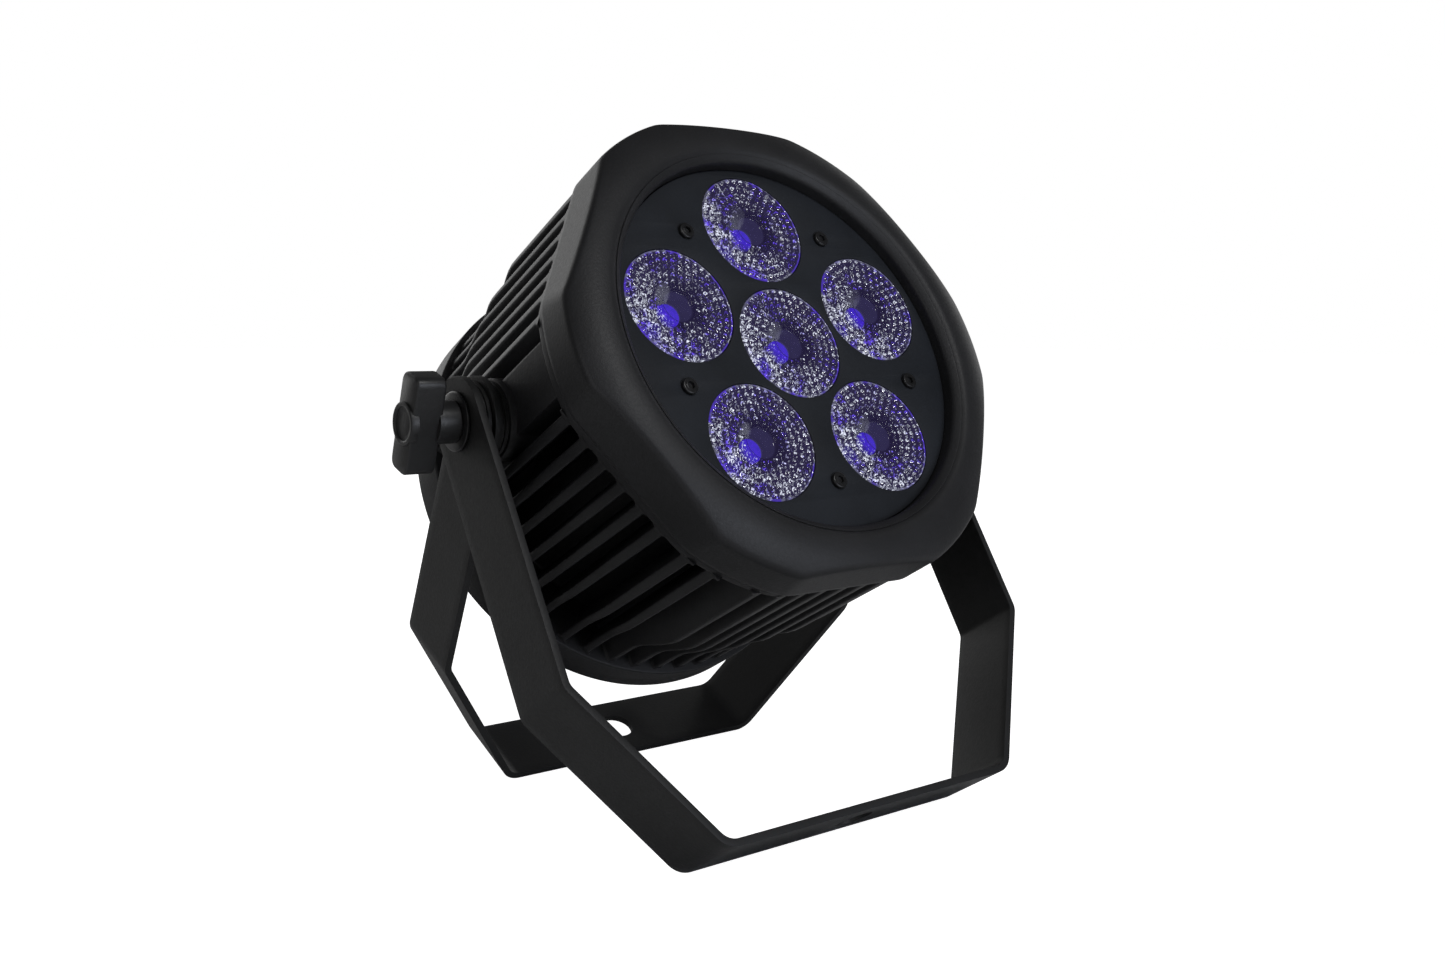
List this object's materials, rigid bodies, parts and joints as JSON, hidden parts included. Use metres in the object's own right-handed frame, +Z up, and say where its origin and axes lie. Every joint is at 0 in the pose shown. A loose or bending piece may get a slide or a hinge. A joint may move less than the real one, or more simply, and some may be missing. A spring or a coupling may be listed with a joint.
{
  "type": "led par can light",
  "caption": "Finned die-cast stage light with pebbled lenses in a recessed face plate, clamped by wing knobs between two nested steel yokes that spread into a floor stand.",
  "frame": {"origin": "on the floor under the middle of the light's bounding box, as it stands on its two spread yokes", "axes": "+Z up, X along the yokes' pivot axis, the beam leaves towards -Y and 28.1 degrees upwards"},
  "size_m": [0.244, 0.198, 0.2446],
  "materials": {
    "cast_black": "fine-textured satin black powder coat",
    "plate_grey": "matte dark blue-grey paint",
    "yoke_black": "satin black powder coat",
    "lens_clear": "clear moulded acrylic with a pebbled face",
    "holder_black": "matte",
    "led_light": "lit blue emitter",
    "board_white": "white solder mask",
    "pad_grey": "soft thermal pad",
    "board_green": "green solder mask",
    "component_grey": "moulded",
    "wire_red": "silicone sleeve",
    "bright_steel": "zinc plated",
    "black_steel": "blackened",
    "seal_rubber": "matte",
    "socket_plastic": "moulded",
    "button_rubber": "soft matte",
    "display_glass": "smoked clear",
    "washer_nylon": "satin nylon",
    "knob_plastic": "moulded glass-filled nylon"
  },
  "bodies": {
    "front_yoke": {"front_yoke": "yoke_black", "yoke_spacer_left": "washer_nylon", "yoke_spacer_right": "washer_nylon"},
    "housing": {"front_bezel": "cast_black", "heatsink_housing": "cast_black", "rear_cover": "cast_black", "lens_plate": "plate_grey", "lens_1": "lens_clear", "lens_2": "lens_clear", "lens_3": "lens_clear", "lens_4": "lens_clear", "lens_5": "lens_clear", "lens_6": "lens_clear", "lens_holder_1": "holder_black", "lens_holder_2": "holder_black", "lens_holder_3": "holder_black", "lens_holder_4": "holder_black", "lens_holder_5": "holder_black", "lens_holder_6": "holder_black", "led_emitters": "led_light", "led_board": "board_white", "thermal_pad": "pad_grey", "driver_board": "board_green", "control_board": "board_green", "driver_components": "component_grey", "display_module": "component_grey", "inner_wiring": "wire_red", "bezel_screws": "bright_steel", "cover_screws": "bright_steel", "board_standoffs": "bright_steel", "inlet_pins": "bright_steel", "socket_screws": "bright_steel", "safety_eye": "bright_steel", "plate_screws": "black_steel", "bezel_gasket": "seal_rubber", "cover_gasket": "seal_rubber", "power_inlet": "socket_plastic", "data_in_socket": "socket_plastic", "data_out_socket": "socket_plastic", "vent_plug": "socket_plastic", "display_window": "display_glass", "pivot_washer_left": "washer_nylon", "pivot_washer_right": "washer_nylon"},
    "rear_yoke": {"rear_yoke": "yoke_black"},
    "knob_washer_left": {"knob_washer_left": "bright_steel"},
    "knob_left": {"knob_left": "knob_plastic", "knob_stud_left": "bright_steel"},
    "knob_washer_right": {"knob_washer_right": "bright_steel"},
    "knob_right": {"knob_right": "knob_plastic", "knob_stud_right": "bright_steel"},
    "button_menu": {"button_menu": "button_rubber"},
    "button_down": {"button_down": "button_rubber"},
    "button_up": {"button_up": "button_rubber"},
    "button_enter": {"button_enter": "button_rubber"}
  },
  "joints": [
    {"name": "housing_tilt", "type": "hinge", "parent": "front_yoke", "child": "housing", "pos_m": [0, -0.00242, 0.14127], "axis": [1, 0, 0], "range_deg": [-120, 120]},
    {"name": "rear_yoke_swing", "type": "hinge", "parent": "front_yoke", "child": "rear_yoke", "pos_m": [0, -0.00242, 0.14127], "axis": [1, 0, 0], "range_deg": [-56, 115]},
    {"name": "knob_left_travel", "type": "slide", "parent": "housing", "child": "knob_washer_left", "axis": [-1, 0, 0], "range_m": [0, 0.0024]},
    {"name": "knob_left_turn", "type": "hinge", "parent": "knob_washer_left", "child": "knob_left", "pos_m": [0, -0.00242, 0.14127], "axis": [-1, 0, 0], "range_deg": [0, 692]},
    {"name": "knob_right_travel", "type": "slide", "parent": "housing", "child": "knob_washer_right", "axis": [1, 0, 0], "range_m": [0, 0.0024]},
    {"name": "knob_right_turn", "type": "hinge", "parent": "knob_washer_right", "child": "knob_right", "pos_m": [0, -0.00242, 0.14127], "axis": [1, 0, 0], "range_deg": [0, 692]},
    {"name": "button_menu_press", "type": "slide", "parent": "housing", "child": "button_menu", "axis": [0, -0.8821, 0.471], "range_m": [0, 0.0008], "stiffness_N_per_m": 800, "springref_m": -0.0005},
    {"name": "button_down_press", "type": "slide", "parent": "housing", "child": "button_down", "axis": [0, -0.8821, 0.471], "range_m": [0, 0.0008], "stiffness_N_per_m": 800, "springref_m": -0.0005},
    {"name": "button_up_press", "type": "slide", "parent": "housing", "child": "button_up", "axis": [0, -0.8821, 0.471], "range_m": [0, 0.0008], "stiffness_N_per_m": 800, "springref_m": -0.0005},
    {"name": "button_enter_press", "type": "slide", "parent": "housing", "child": "button_enter", "axis": [0, -0.8821, 0.471], "range_m": [0, 0.0008], "stiffness_N_per_m": 800, "springref_m": -0.0005}
  ],
  "couplings": [
    {"joint": "knob_left_turn", "follows": "knob_left_travel", "rad_per_m": 5026.5},
    {"joint": "knob_right_turn", "follows": "knob_right_travel", "rad_per_m": 5026.5}
  ]
}
